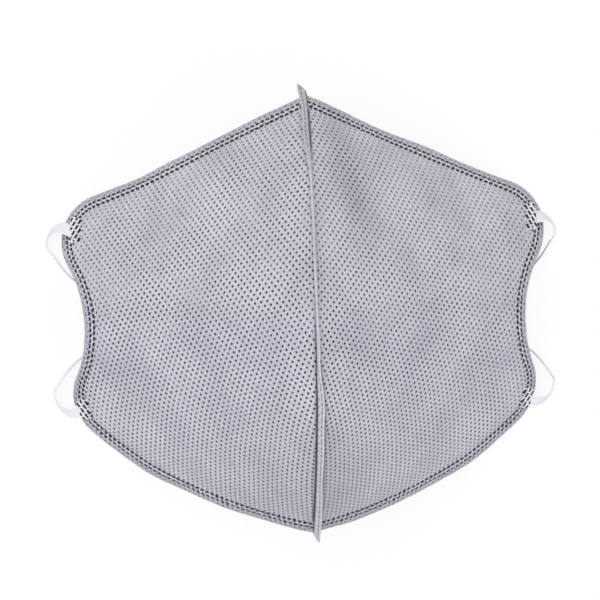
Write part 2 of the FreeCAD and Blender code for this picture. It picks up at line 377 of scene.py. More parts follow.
def strength(x, y, inside, side):
    """How clearly the dots are pressed: most beside the seam and low down, least by the rim."""
    by_rim = smooth(3, 14, inside)
    low = smooth(30, -40, y)
    far = smooth(70, 15, x)
    base = (0.58 if side < 0 else 0.5) - 0.1 * smooth(15, 45, y) * smooth(5, 20, x)
    # the dots also darken with the painted shade of hollows and folds
    dark = 0.3 * shade(x, y, side)
    patchy = 0.14 * waves(x, y, 11, 31 + side)
    return np.clip(base + 0.12 * by_rim + 0.26 * low + 0.1 * far + dark + patchy, 0.1, 1)


def shade(x, y, side):
    """Painted shade where the fabric lies in hollows and folds, over cloudy patches that vary at random,
    between none and one.
    """
    # random cloudy patches, and painted shade along the level fold across the middle
    cloudy = 0.22 * smooth(-0.2, 1, waves(x, y, 16, 91 + side)) + 0.12 * np.exp(-(((y + 0.04 * x) / 3) ** 2))
    if side < 0:
        # painted shade low down beside the seam
        return cloudy + 0.25 * smooth(-20, -50, y) * smooth(40, 5, x)
    # painted shade in the hollow right of the seam near the nose, and in a low fold
    wedge = np.exp(-(((x - 9 - 0.25 * (50 - y)) / 5) ** 2)) * smooth(14, 30, y) * smooth(60, 50, y)
    low_fold = np.exp(-(((x - 8) / 6) ** 2)) * smooth(-30, -50, y)
    return cloudy + 0.75 * wedge + 0.4 * low_fold


def seam_shadow(y, side):
    """How dark the painted shadow in the corner beside the standing seam is: most on the side that the seam
    leans away from.
    """
    if side < 0:
        return 0.25 + 0.75 * smooth(8, -12, y)
    return 0.25 + 0.75 * smooth(42, 48, y) + 0.7 * smooth(-8, -24, y)


def outer_cover(side):
    """One half's embossed cover, its mesh in step with the dots."""
    across, up = DOT_ACROSS / 6, DOT_UP / 8
    reach = powers(RIM[:, 0], RIM[:, 1]) @ TO_FLAT
    low, high = reach.min(0) - 3, reach.max(0) + 3
    low[0] = min(low[0], -30)
    ps = np.arange(math.floor(low[0] / across), math.ceil(high[0] / across)) * across
    qs = np.arange(math.floor(low[1] / up), math.ceil(high[1] / up)) * up
    p, q = (grid.ravel() for grid in np.meshgrid(ps, qs, indexing="ij"))
    x, y = (powers(p, q) @ TO_MASK).T
    near = (np.abs(x) < 95) & (np.abs(y) < 90)
    x, y = np.where(near, x, -50), np.where(near, y, 0)
    x, y, within, inside = keep_inside(x, y, COVER_START)
    faces = grid_faces(len(ps), len(qs))
    faces = faces[within[faces].any(1) & near[faces].all(1)]
    used, faces = np.unique(faces, return_inverse=True)
    faces = faces.reshape(-1, 4)
    p, q, x, y, inside = p[used], q[used], x[used], y[used], inside[used]
    points, normals = front(x, y)
    press = strength(x, y, inside, side)
    # the painted shadow beside the seam reaches out under the leaning flap's edge
    past_flap = np.clip(x - np.maximum(SEAM_START, side * lean(y) + 0.25), 0, None)
    height = creases(x, y, side) * smooth(3, 12, inside) * smooth(0, 6, x)
    height += (0.05 - 0.22 * emboss(p, q)) * press * smooth(COVER_START, COVER_START + 1, inside)
    height -= 0.24 * smooth(COVER_START + 1.8, COVER_START, inside) + 0.3 * np.exp(-x / 0.9)
    flat = np.stack([p / DOT_ACROSS, q / DOT_UP], -1)
    return new_piece(
        cloth_name("outer_cover", side),
        points + normals * height[:, None],
        faces,
        side,
        {"weave": flat},
        {
            "press": press,
            "shade": shade(x, y, side),
            "seam_shadow": seam_shadow(y, side) * np.exp(-((past_flap / 0.5) ** 2)),
        },
    )


def name_of(node, side):
    return node + ("_right" if side > 0 else "_left")


def cloth_name(node, side):
    """A piece's own name, beside that of the solid it stands for."""
    return name_of(node + "_looks", side)


def weld_mark(way, inside):
    """One inside a pressed dash of the two weld lines along the rim."""
    mark = np.zeros_like(way)
    for row, line in enumerate(WELD_LINES):
        along = np.abs((way / WELD_PITCH + 0.5 * row) % 1 - 0.5) * WELD_PITCH
        mark = np.maximum(mark, smooth(0.62, 0.42, along) * smooth(0.36, 0.16, np.abs(inside - line)))
    return mark


def edge_weld(side):
    """The fused strip along the rim, with two dashed weld lines pressed into it."""
    count = int(RIM_WAY[-1] / 0.22)
    way = np.linspace(0, RIM_WAY[-1], count)
    spots, outward = (
        np.stack([np.interp(way, RIM_WAY, part[:, i]) for i in (0, 1)], -1) for part in (RIM, RIM_OUT)
    )
    outward /= np.linalg.norm(outward, axis=1, keepdims=True)
    top = np.concatenate([np.arange(STRIP_WIDTH, 0.2, -0.16), [0.1, 0.0]])
    depth = 0.25 + 0.35 * smooth(COVER_START - 0.1, STRIP_WIDTH, top) + 0.25 * smooth(0.5, 0.0, top) ** 2
    under = np.concatenate([[0.0, 0.3, 0.9], np.arange(1.3, STRIP_WIDTH, 0.2), [STRIP_WIDTH]])
    inside = np.concatenate([top, under])
    depth = np.concatenate([depth, EDGE_SINK + EDGE_THICKNESS - 0.25 * smooth(0.6, 0, under)])
    ripple = 0.12 * waves(way, way * 0, 9, 41 + side)[:, None] * smooth(3, 0, inside)[None]
    x = spots[:, None, 0] - outward[:, None, 0] * (inside[None] - ripple)
    y = spots[:, None, 1] - outward[:, None, 1] * (inside[None] - ripple)
    x = np.maximum(x, SEAM_START)
    ways, insides = np.broadcast_to(way[:, None], x.shape), np.broadcast_to(inside[None], x.shape)
    up_side = np.arange(len(inside)) < len(top)
    height = -np.broadcast_to(depth[None], x.shape).copy()
    between = np.exp(-(((insides - sum(WELD_LINES) / 2) / 0.35) ** 2))
    rough = 0.05 * waves(ways, insides, 2.2, 5)
    height += up_side * (0.1 * between - 0.22 * weld_mark(ways, insides) + rough)
    height += ~up_side * 0.16 * weld_mark(ways, insides)
    height += 0.25 * waves(x, y, 14, 51 + side) * smooth(0, 6, x) * smooth(4, 0, insides)
    points, normals = front(x.ravel(), y.ravel())
    points = points + normals * height.ravel()[:, None]
    weave = powers(x.ravel(), y.ravel()) @ TO_FLAT / [DOT_ACROSS, DOT_UP]
    weld = np.stack([ways.ravel(), insides.ravel()], -1)
    faces = grid_faces(count, len(inside), closed=True)
    return new_piece(
        cloth_name("edge_weld", side),
        points,
        faces[:, ::-1],
        side,
        {"weave": weave, "weld": weld},
        {
            "press": strength(x.ravel(), y.ravel(), insides.ravel(), side) * 0.9,
            "shade": shade(x.ravel(), y.ravel(), side),
            "under": ~np.tile(up_side, count),
        },
    )


def lean(y):
    """How far the standing seam's free edge leans to the right."""
    nose = -1.3 * smooth(36, 50, y) - 0.9 * smooth(56, 63, y) - 0.3
    return nose + 0.6 * smooth(10, -14, y) + 1.2 * smooth(-14, -30, y)


def centre_seam():
    """The two fused flaps that stand along the middle, leaning left at the nose and right at the chin."""
    y = np.arange(CHIN_Y - CHIN_TIP, NOSE_Y + SEAM_TIP + 0.1, 0.25)
    drop, slope = seam_drop(y)
    base = np.stack([0 * y, y, CROWN_Z - drop], -1)
    outward = np.stack([0 * y, slope, np.ones_like(y)], -1)
    outward /= np.linalg.norm(outward, axis=1, keepdims=True)
    way = np.concatenate([[0], np.cumsum(np.linalg.norm(np.diff(base, axis=0), axis=1))])
    rise = np.linspace(-STACK, SEAM_HEIGHT, FLAP_POINTS)
    rise = np.concatenate([rise, np.linspace(SEAM_HEIGHT, -STACK, FLAP_POINTS)])
    face = np.repeat([-1.0, 1.0], FLAP_POINTS)
    ring = len(rise)
    taper = smooth(0, 3, way) * smooth(0, 4, way[-1] - way)
    ways = np.broadcast_to(way[:, None], (len(y), ring))
    past = np.maximum(smooth(NOSE_Y - 0.5, y[-1], y), smooth(CHIN_Y + 0.5, y[0], y))[:, None]
    rises = rise[None] + past * (SEAM_HEIGHT - rise[None])
    half = 0.45 - 0.13 * smooth(0.5, 2.2, rises) - 0.2 * smooth(2.55, 2.8, rises)
    bend = (np.clip(rises, 0, None) / SEAM_HEIGHT) ** 1.4
    leaning = (lean(y) + 0.22 * waves(y, 0 * y, 13, 61))[:, None] * bend
    wide = half * (0.25 + 0.75 * taper[:, None])
    beat = np.abs(ways / SEAM_PITCH % 1 - 0.5) * SEAM_PITCH
    dash = smooth(0.62, 0.4, beat) * smooth(0.32, 0.1, np.abs(rises - SEAM_DASHES))
    wide = wide - 0.12 * dash + 0.03 * waves(ways, rises, 2.5, 71)
    upright = np.sqrt(np.clip(1 - (leaning / (SEAM_HEIGHT * 1.2)) ** 2, 0.3, 1))
    tall = rises * np.where(rises > 0, upright, 1)
    points = base[:, None] + outward[:, None] * tall[..., None]
    points[..., 0] = leaning + face[None] * wide
    faces = grid_faces(len(y), ring, closed=True)
    ends = [np.arange(ring)[::-1], np.arange(ring) + ring * (len(y) - 1)]
    pairs = [(i, ring - 1 - i) for i in range(FLAP_POINTS - 1)]
    caps = [[end[i], end[i + 1], end[j - 1], end[j]] for end in ends for i, j in pairs]
    return new_piece(
        "centre_seam_looks",
        points.reshape(-1, 3),
        np.concatenate([faces, np.array(caps)]),
        1,
        {
            "weave": np.stack([rises.ravel() / DOT_ACROSS, ways.ravel() / DOT_UP], -1),
            "weld": np.stack([ways.ravel(), rises.ravel()], -1),
        },
        {
            "press": np.full(len(y) * ring, 0.35),
            "shade": np.repeat(0.1 + 0.4 * smooth(28, 48, y), ring),
            # painted shadow at the foot of the seam's faces
            "seam_shadow": np.where(face[None] < 0, seam_shadow(y, -1)[:, None], seam_shadow(y, 1)[:, None]).ravel(),
        },
    )


def inner_layer(node, side, depth, step, edge):
    """One of the sheets behind the cover."""
    xs = np.concatenate([[0.0], np.arange(SEAM_START, 78, step)])
    ys = np.arange(-74, 68, step)
    x, y = (grid.ravel() for grid in np.meshgrid(xs, ys, indexing="ij"))
    x, y, within, inside = keep_inside(x, y, 2.2)
    faces = grid_faces(len(xs), len(ys))
    faces = faces[within[faces].any(1)]
    used, faces = np.unique(faces, return_inverse=True)
    x, y, inside = x[used], y[used], inside[used]
    points, normals = front(x, y)
    height = creases(x, y, side) * smooth(3, 12, inside) * smooth(0, 6, x)
    height -= depth + (edge - depth) * smooth(6.0, 2.2, inside)
    points = points + normals * height[:, None]
    flat = powers(x, y) @ TO_FLAT / [DOT_ACROSS, DOT_UP]
    return new_piece(cloth_name(node, side), points, faces.reshape(-1, 4), side, {"weave": flat})


def band_weld(node, side, place, turn):
    """The welded end of a band, with rows of slanted dashes pressed through it."""
    rows, columns = 37, 81
    foot = PAD_LENGTH / 2 - (LOWER_PAD_TRIM if place[1] < 0 else 0)
    across = np.linspace(-PAD_WIDTH / 2, PAD_WIDTH / 2, rows)
    along = np.linspace(-foot, PAD_LENGTH / 2, columns)
    u, v = (grid.ravel() for grid in np.meshgrid(across, along, indexing="ij"))
    end = np.minimum(PAD_LENGTH / 2 - v, v + foot)
    tip = smooth(0, 0.8, end)
    x = place[0] + (u * (0.86 + 0.14 * tip)) * math.cos(turn) - v * math.sin(turn)
    y = place[1] + (u * (0.86 + 0.14 * tip)) * math.sin(turn) + v * math.cos(turn)
    points, normals = front(x, y)
    rounded = smooth(PAD_WIDTH / 2, PAD_WIDTH / 2 - 0.35, np.abs(u)) * smooth(0, 0.35, end)
    slant = 1 if place[1] > 0 else -1
    height = -0.3 + 0.72 * rounded**0.5 - 0.3 * pad_mark(u, v, slant) * rounded
    height += 0.03 * waves(u, v, 1.1, 81)
    return new_piece(
        cloth_name(node, side),
        points + normals * height[:, None],
        grid_faces(rows, columns),
        side,
        {"pad": np.stack([u + PAD_SLANT * slant * v, v], -1), "patch": np.stack([u, v], -1)},
    )


def pad_mark(u, v, slant):
    """One inside a slanted dash of a band's weld."""
    row = (u + PAD_SLANT * slant * v) / PAD_ROWS + 0.5
    beat = v / PAD_PITCH + 0.5 * (np.floor(row) % 2)
    return smooth(0.34, 0.18, np.abs(row % 1 - 0.5)) * smooth(0.42, 0.3, np.abs(beat % 1 - 0.5))


def band_ring(count=9):
    """The outline of a flat band's section, rounded at its edges and ribbed along its faces."""
    wide = np.linspace(-1, 1, count)
    ribs = 0.012 * np.cos(np.arange(count) * math.pi)
    half = 0.3 * BAND_THICKNESS
    face = np.stack([wide * (BAND_WIDTH / 2 - 0.12), half + ribs - 0.16 * np.abs(wide) ** 5], -1)
    side = np.array([[BAND_WIDTH / 2, 0.08], [BAND_WIDTH / 2, -0.08]])
    return np.concatenate([face, side, -face, -side])


def swept_band(name, side, middles, wide, thick):
    """A ribbed flat band through these middles, with its wide and thick directions at each."""
    ring = band_ring()
    points = middles[:, None] + wide[:, None] * ring[None, :, :1] + thick[:, None] * ring[None, :, 1:]
    way = np.concatenate([[0], np.cumsum(np.linalg.norm(np.diff(middles, axis=0), axis=1))])
    size = len(ring)
    faces = grid_faces(len(middles), size, closed=True)
    uv = np.stack([np.repeat(way, size), np.tile(ring[:, 0], len(middles))], -1)
    half = size // 2
    caps = []
    for start in (0, (len(middles) - 1) * size):
        for i in range(half - 1):
            caps.append([start + i, start + i + 1, start + size - 3 - i, start + size - 2 - i])
    faces = np.concatenate([faces, np.array(caps)])
    return new_piece(name, points.reshape(-1, 3), faces, side, {"band": uv}, fallen=False)


def band_frame(heading, roll):
    """The band's wide and thick directions, as its solid turns."""
    level = np.array([-math.sin(math.radians(heading)), math.cos(math.radians(heading)), 0])
    tilt = math.radians(roll)
    up = np.array([0, 0, 1.0])
    return level * math.cos(tilt) + up * math.sin(tilt), up * math.cos(tilt) - level * math.sin(tilt)


def through(ways, values, at):
    """The cubic through four values at four distances."""
    total = 0
    for i in range(4):
        share = np.ones_like(at)
        for j in range(4):
            if j != i:
                share = share * (at - ways[j]) / (ways[i] - ways[j])
        total = total + share[:, None] * values[i]
    return total


def band_end(node, side, place, hinge_y):
    """A band from its welded end, turning onto its edge and down to the table beyond the corner."""
    way = math.copysign(1, hinge_y - place[1])
    turn = HINGE_X + (UPPER_SWELL if place[1] > 0 else LOWER_SWELL)
    x = place[0] + PAD_WIDTH / 2 + PAD_GAP
    z = front(np.array([x]), np.array([place[1]]))[0][0, 2] + BAND_THICKNESS
    stations = [  # each a place, a heading and a roll in degrees, as the solid has them
        (x, place[1], z, 0, way * 33),
        (turn - 2.6, place[1], (z + BAND_Z) / 2, 0, way * 55),
        (turn, hinge_y - way * 4.0, BAND_Z + 0.5, way * 62, way * 80),
        (HINGE_X, hinge_y, BAND_Z, way * 120, way * 90),
    ]
    middles = np.array([station[:3] for station in stations])
    frames = [band_frame(*station[3:]) for station in stations]
    ways = np.concatenate([[0], np.cumsum(np.linalg.norm(np.diff(middles, axis=0), axis=1))])
    at = np.linspace(-1.0, ways[-1] + 0.1, 40)
    wide = through(ways, [f[0] for f in frames], at)
    thick = through(ways, [f[1] for f in frames], at)
    wide /= np.linalg.norm(wide, axis=1, keepdims=True)
    thick -= wide * (thick * wide).sum(1)[:, None]
    thick /= np.linalg.norm(thick, axis=1, keepdims=True)
    return swept_band(cloth_name(node, side), side, through(ways, list(middles), at), wide, thick)


def ear_loop(side):
    """The free loop: limp flat elastic standing on its edge, tucked under the mask."""
    points = [(HINGE_X, UPPER_HINGE_Y), *LOOP_POINTS, (HINGE_X, LOWER_HINGE_Y)]
    route = bpy.data.curves.new("loop_route", "CURVE")
    route.dimensions = "3D"
    line = route.splines.new("NURBS")
    line.points.add(len(points) - 1)
    for point, (x, y) in zip(line.points, points):
        point.co = (x * MM, y * MM, BAND_Z * MM, 1)
    line.order_u = 3
    line.use_endpoint_u = True
    line.resolution_u = 24
    holder = bpy.data.objects.new("loop_route", route)
    bpy.context.scene.collection.objects.link(holder)
    bpy.context.view_layer.update()
    drawn = bpy.data.meshes.new_from_object(holder)
    middles = np.array([vertex.co for vertex in drawn.vertices]) / MM
    bpy.data.objects.remove(holder)
    middles = middles[np.concatenate([[True], np.linalg.norm(np.diff(middles, axis=0), axis=1) > 1e-4])]
    ahead = np.gradient(middles, axis=0)
    ahead /= np.linalg.norm(ahead, axis=1, keepdims=True)
    up = np.repeat([[0, 0, 1.0]], len(middles), 0)
    piece = swept_band(cloth_name("ear_loop", side), side, middles, up, np.cross(ahead, up))
    return piece


class Paint:
    """A material whose colour, roughness and relief come from its nodes."""

    def __init__(self, name):
        self.material = bpy.data.materials.new(name)
        self.material.use_nodes = True
        self.tree = self.material.node_tree
        self.shader = self.tree.nodes["Principled BSDF"]

    def add(self, kind, values=(), **settings):
        node = self.tree.nodes.new(kind)
        for key, value in settings.items():
            setattr(node, key, value)
        for socket, value in zip(node.inputs, values):
            self.put(value, socket)
        return node

    def put(self, value, socket):
        if isinstance(value, bpy.types.NodeSocket):
            self.tree.links.new(value, socket)
        elif value is not None:
            socket.default_value = value

    def math(self, operation, *values):
        return self.add("ShaderNodeMath", values, operation=operation).outputs[0]

    def vector(self, operation, *values):
        node = self.add("ShaderNodeVectorMath", values, operation=operation)
        return node.outputs["Value" if operation == "LENGTH" else "Vector"]

    def split(self, vector):
        return self.add("ShaderNodeSeparateXYZ", [vector]).outputs

    def step(self, value, low, high):
        """Zero at low and one at high, whichever is larger."""
        node = self.add("ShaderNodeMapRange", interpolation_type="SMOOTHSTEP")
        self.put(value, node.inputs["Value"])
        self.put(low, node.inputs["From Min"])
        self.put(high, node.inputs["From Max"])
        return node.outputs["Result"]

    def mix(self, share, first, second):
        node = self.add("ShaderNodeMix", data_type="RGBA")
        self.put(share, node.inputs[0])
        self.put(first, node.inputs[6])
        self.put(second, node.inputs[7])
        return node.outputs[2]

    def stain(self, colour, mask, share, tint):
        """The colour, turned towards a tint by a share of the mask."""
        return self.mix(self.math("MULTIPLY", mask, share), colour, tint)

    def most(self, masks):
        """The largest of these masks at each place."""
        largest = masks[0]
        for mask in masks[1:]:
            largest = self.math("MAXIMUM", largest, mask)
        return largest

    def uv(self, name):
        return self.add("ShaderNodeUVMap", uv_map=name).outputs[0]

    def mark(self, name):
        return self.add("ShaderNodeAttribute", attribute_name=name).outputs["Fac"]

    def place(self):
        return self.add("ShaderNodeTexCoord").outputs["Object"]

    def noise(self, vector, scale, detail=3.0, roughness=0.6):
        node = self.add("ShaderNodeTexNoise")
        self.put(vector, node.inputs["Vector"])
        self.put(scale, node.inputs["Scale"])
        self.put(detail, node.inputs["Detail"])
        self.put(roughness, node.inputs["Roughness"])
        return node.outputs[0]

    def fibres(self, vector, angle, fine, long):
        """Thin streaks: one on a fibre, zero beside it."""
        node = self.add("ShaderNodeMapping")
        self.put(vector, node.inputs["Vector"])
        node.inputs["Rotation"].default_value = (0, 0, angle)
        node.inputs["Scale"].default_value = (long, fine, 1)
        height = self.noise(node.outputs[0], 1.0, 2.0)
        away = self.math("ABSOLUTE", self.math("SUBTRACT", height, 0.5))
        return self.step(away, 0.07, 0.0)

    def finish(self, colour, roughness, height=None, relief=0.1, distance=0.0002, sheen=0.0):
        self.put(colour, self.shader.inputs["Base Color"])
        self.put(roughness, self.shader.inputs["Roughness"])
        self.shader.inputs["Specular IOR Level"].default_value = 0.35
        self.shader.inputs["Sheen Weight"].default_value = sheen
        if height is not None:
            bump = self.add("ShaderNodeBump")
            bump.inputs["Strength"].default_value = relief
            bump.inputs["Distance"].default_value = distance
            self.put(height, bump.inputs["Height"])
            self.tree.links.new(bump.outputs[0], self.shader.inputs["Normal"])
        return self.material


def tone(*screen):
    """A screen colour as the shader wants it."""
    shares = [c / 255 for c in screen]
    return tuple(s / 12.92 if s < 0.0404 else ((s + 0.055) / 1.055) ** 2.4 for s in shares) + (1,)


FABRIC = tone(180, 177, 189)
THREAD = tone(220, 217, 227)
PRESSED = tone(7, 7, 10)
DASH = tone(12, 12, 16)
PAINTED_SHADOW = tone(24, 23, 28)  # painted shadow in the corner beside the standing seam


def pressed_dots(paint, weave):
    """Masks of the dots, some darker than others, and of the painted highlights on the rings round them."""
    dots, dot_highlights = [], []
    for shift in (0.0, 0.5):
        moved = paint.vector("ADD", weave, (shift, shift, 0))
        cell = paint.vector("FLOOR", moved)
        middle = paint.vector("SUBTRACT", paint.vector("FRACTION", moved), (0.5, 0.5, 0))
        shaped = paint.vector("MULTIPLY", middle, (DOT_ACROSS / DOT_WIDE * 2, DOT_UP / DOT_TALL * 2, 0))
        ragged = paint.math("MULTIPLY", paint.math("SUBTRACT", paint.noise(weave, 6.0, 2.0), 0.5), 0.9)
        size = paint.math("ADD", paint.vector("LENGTH", shaped), ragged)
        luck = paint.add("ShaderNodeTexWhiteNoise", [cell], noise_dimensions="2D").outputs["Value"]
        darkness = paint.math("MULTIPLY_ADD", luck, 0.3, 0.7)
        dots.append(paint.math("MULTIPLY", paint.step(size, 1.15, 0.88), darkness))
        dot_highlights.append(paint.step(size, 2.1, 1.4))
    return paint.most(dots), paint.most(dot_highlights)


def crossed_threads(paint, weave):
    """A mask of the bright threads that cross between the dots."""
    along, up, _ = paint.split(weave)
    threads = []
    for slope in (1, -1):
        line = paint.math("FRACT", paint.math("MULTIPLY_ADD", up, slope, along))
        away = paint.math("ABSOLUTE", paint.math("SUBTRACT", line, 0.5))
        threads.append(paint.step(away, 0.17, 0.05))
    return paint.most(threads)


def woven(paint):
    """The fabric's colour, its relief and how deeply its dots are pressed, from its flat places."""
    weave = paint.uv("weave")
    dots, dot_highlights = pressed_dots(paint, weave)
    threads = crossed_threads(paint, weave)
    fine = paint.most([paint.fibres(weave, 0.7, 7.0, 0.9), paint.fibres(weave, -0.9, 8.0, 1.1)])
    cloud = paint.noise(weave, 0.11, 3.0)
    grain = paint.noise(weave, 3.2, 4.0)
    pores = paint.noise(weave, 7.5, 2.0)
    low = paint.step(paint.split(paint.place())[1], 0.012, -0.004)
    colour = paint.mix(paint.math("MULTIPLY", threads, paint.step(grain, 0.25, 0.6)), FABRIC, THREAD)
    for mask, share, tint in (
        (fine, 0.55, THREAD),
        (paint.step(cloud, 0.35, 0.7), 0.4, tone(156, 152, 168)),
        (paint.step(grain, 0.55, 0.25), 0.45, tone(140, 136, 151)),
        (paint.step(pores, 0.5, 0.32), 0.5, tone(128, 124, 140)),
        # painted shade of hollows and folds, with random cloudy tone, from the shade mark
        (paint.mark("shade"), 0.5, tone(120, 117, 128)),
        # painted highlight on the rings round the dots
        (dot_highlights, 0.3, THREAD),
        (low, 0.06, tone(180, 168, 226)),
    ):
        colour = paint.stain(colour, mask, share, tint)
    depth = paint.math("MULTIPLY", dots, paint.math("MULTIPLY_ADD", paint.mark("press"), 0.95, 0.26))
    colour = paint.mix(depth, colour, PRESSED)
    height = paint.math("ADD", paint.math("MULTIPLY", fine, 0.5), paint.math("MULTIPLY", threads, 0.6))
    return colour, paint.math("ADD", height, grain), depth


def cover_material():
    paint = Paint("embossed_fabric")
    colour, height, depth = woven(paint)
    # painted shadow in the corner beside the standing seam
    colour = paint.mix(paint.mark("seam_shadow"), colour, PAINTED_SHADOW)
    rough = paint.math("MULTIPLY_ADD", depth, -0.2, 0.72)
    return paint.finish(colour, rough, height, 0.35, 0.00015, sheen=0.15)


def dash_line(paint, along, pitch, dash, away, half):
    """A shader's mask of one dashed line."""
    beat = paint.math("ABSOLUTE", paint.math("SUBTRACT", paint.math("FRACT", along), 0.5))
    on = paint.step(beat, dash / pitch / 2 + 0.06, dash / pitch / 2 - 0.06)
    return paint.math("MULTIPLY", on, paint.step(paint.math("ABSOLUTE", away), half + 0.08, half - 0.08))


def edge_material():
    """Fused fabric with near-black dashes and pale crushed fabric between them."""
    paint = Paint("welded_edge")
    colour, height, _ = woven(paint)
    way, inside, _ = paint.split(paint.uv("weld"))
    middle = sum(WELD_LINES) / 2
    from_middle = paint.math("SUBTRACT", inside, middle)

    def repeated(shift, pitch, dash, away, half):
        """Marks of this length along the rim, at this spacing."""
        along = paint.math("MULTIPLY_ADD", way, 1 / pitch, shift)
        return dash_line(paint, along, pitch, dash, away, half)

    lines = [paint.math("SUBTRACT", inside, line) for line in WELD_LINES]
    dashes = paint.most([repeated(0.5 * row, WELD_PITCH, 1.1, line, 0.29) for row, line in enumerate(lines)])
    crushed = repeated(0.25, WELD_PITCH, 0.6, from_middle, 0.22)
    bars = repeated(0.0, 2 * WELD_PITCH, 0.3, from_middle, 0.45)
    nicks = repeated(0.3, WELD_PITCH, 0.5, paint.math("SUBTRACT", inside, WELD_LINES[0] - 0.8), 0.14)
    pale = paint.step(paint.math("ABSOLUTE", from_middle), 1.0, 0.6)
    ragged = paint.step(paint.noise(paint.uv("weld"), 1.4, 3.0), 0.24, 0.4)
    colour = paint.stain(colour, paint.step(inside, 1.5, 0.9), 0.35, tone(148, 145, 157))
    colour = paint.stain(colour, pale, 0.06, tone(222, 220, 228))
    colour = paint.stain(colour, crushed, 0.3, tone(242, 240, 246))
    colour = paint.stain(colour, bars, 0.6, tone(80, 78, 90))
    colour = paint.stain(colour, dashes, ragged, DASH)
    colour = paint.stain(colour, nicks, 0.45, tone(60, 58, 66))
    lining = paint.stain(tone(226, 226, 229), dashes, 0.7, tone(120, 120, 126))
    colour = paint.mix(paint.mark("under"), colour, lining)
    return paint.finish(colour, 0.6, height, 0.3, 0.00015)


def seam_material():
    paint = Paint("welded_seam")
    colour, height, _ = woven(paint)
    way, rise, _ = paint.split(paint.uv("weld"))
    along = paint.math("MULTIPLY", way, 1 / SEAM_PITCH)
    dashes = dash_line(paint, along, SEAM_PITCH, 0.9, paint.math("SUBTRACT", rise, SEAM_DASHES), 0.14)
    colour = paint.mix(0.15, colour, THREAD)
    colour = paint.stain(colour, dashes, 0.9, tone(50, 48, 58))
    # painted shadow at the foot of the seam's faces
    colour = paint.stain(colour, paint.step(rise, 1.05, 0.5), paint.mark("seam_shadow"), PAINTED_SHADOW)
    return paint.finish(colour, 0.6, height, 0.3, 0.00015)


def elastic_material():
    """White knitted elastic, ribbed along the band."""
    paint = Paint("white_elastic")
    way, across, _ = paint.split(paint.uv("band"))
    ribs = paint.math("SINE", paint.math("MULTIPLY", across, 2 * math.pi / 0.55))
    knit = paint.math("SINE", paint.math("MULTIPLY", way, 2 * math.pi / 0.7))
    height = paint.math("MULTIPLY_ADD", knit, 0.4, ribs)
    # painted shade in the knit's grooves, darker where the relief is lowest
    colour = paint.mix(paint.step(height, -0.4, -1.4), tone(233, 231, 239), tone(214, 212, 221))
    colour = paint.stain(colour, paint.noise(paint.place(), 700.0), 0.3, tone(220, 218, 228))
    # the band's narrow edges painted near white: painted light from above
    lit_edges = paint.step(paint.math("ABSOLUTE", across), BAND_WIDTH / 2 - 0.3, BAND_WIDTH / 2 - 0.1)
    colour = paint.mix(lit_edges, colour, tone(250, 250, 251))
    return paint.finish(colour, 0.7, height, 0.12, 0.0001, sheen=0.2)


def pad_material():
    """The band's welded end: white, with dark slanted dashes."""
    paint = Paint("elastic_weld")
    across, v, _ = paint.split(paint.uv("pad"))
    row = paint.math("MULTIPLY_ADD", across, 1 / PAD_ROWS, 0.5)
    odd = paint.math("MULTIPLY", paint.math("FLOORED_MODULO", paint.math("FLOOR", row), 2.0), 0.5)
    beat = paint.math("MULTIPLY_ADD", v, 1 / PAD_PITCH, odd)
    near_row = paint.math("ABSOLUTE", paint.math("SUBTRACT", paint.math("FRACT", row), 0.5))
    near_dash = paint.math("ABSOLUTE", paint.math("SUBTRACT", paint.math("FRACT", beat), 0.5))
    dashes = paint.math("MULTIPLY", paint.step(near_row, 0.33, 0.22), paint.step(near_dash, 0.42, 0.34))
    grain = paint.noise(paint.place(), 1500.0)
    streak = paint.step(paint.noise(paint.uv("pad"), 0.9, 3.0), 0.35, 0.65)
    colour = paint.mix(streak, tone(206, 204, 213), tone(246, 246, 248))
    toward_band, _, _ = paint.split(paint.uv("patch"))
    colour = paint.stain(colour, paint.step(toward_band, 0.2, -1.7), 0.75, FABRIC)
    worn = paint.step(paint.noise(paint.uv("pad"), 0.6), 0.3, 0.42)
    colour = paint.stain(colour, dashes, worn, DASH)
    return paint.finish(colour, 0.6, grain, 0.3, 0.0001)


def plain_cloth(name, light, dark, scale):
    """A smooth non-woven: short fibres lying every way over a soft ground."""
    paint = Paint(name)
    weave = paint.uv("weave")
    fine = paint.most(
        [paint.fibres(weave, 0.4, 6.0 * scale, 0.8), paint.fibres(weave, -1.1, 7.0 * scale, 1.0)]
    )
    cloud = paint.noise(weave, 0.6, 4.0)
    colour = paint.mix(cloud, dark, light)
    colour = paint.stain(colour, fine, 0.5, light)
    return paint.finish(colour, 0.8, fine, 0.2, 0.0001, sheen=0.2)


def dress(piece, material, *nodes, slot):
    piece.data.materials.append(material)
    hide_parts(*nodes)


def follow_fold(piece):
    """Bakes a piece's placement into its mesh."""
    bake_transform(piece)


def camera():
    """Straight down on the mask, a little off its axis."""
    turn = Matrix.Rotation(CAMERA_ROLL, 3, "Z") @ Matrix.Rotation(CAMERA_PITCH, 3, "X")
    back = (turn @ Matrix.Rotation(CAMERA_YAW, 3, "Y")).transposed()
    lens = bpy.data.cameras.new("camera")
    lens.sensor_width = 36
    lens.lens = LENS * CAMERA_DISTANCE / LENS_DISTANCE
    lens.clip_end = 20
    eye = bpy.data.objects.new("camera", lens)
    middle = Vector((0, SHIFT_Y, CROWN_Z / 2))
    place = (middle + back @ Vector((CAMERA_ASIDE, CAMERA_ABOVE, CAMERA_DISTANCE))) * MM
    eye.matrix_world = Matrix.Translation(place) @ back.to_4x4()
    bpy.context.scene.collection.objects.link(eye)
    bpy.context.scene.camera = eye


def area_light(name, place, size, power):
    light = bpy.data.lights.new(name, "AREA")
    light.size = size
    light.energy = power
    lamp = bpy.data.objects.new(name, light)
    lamp.location = place
    lamp.rotation_euler = Vector(place).to_track_quat("Z", "Y").to_euler()
    bpy.context.scene.collection.objects.link(lamp)


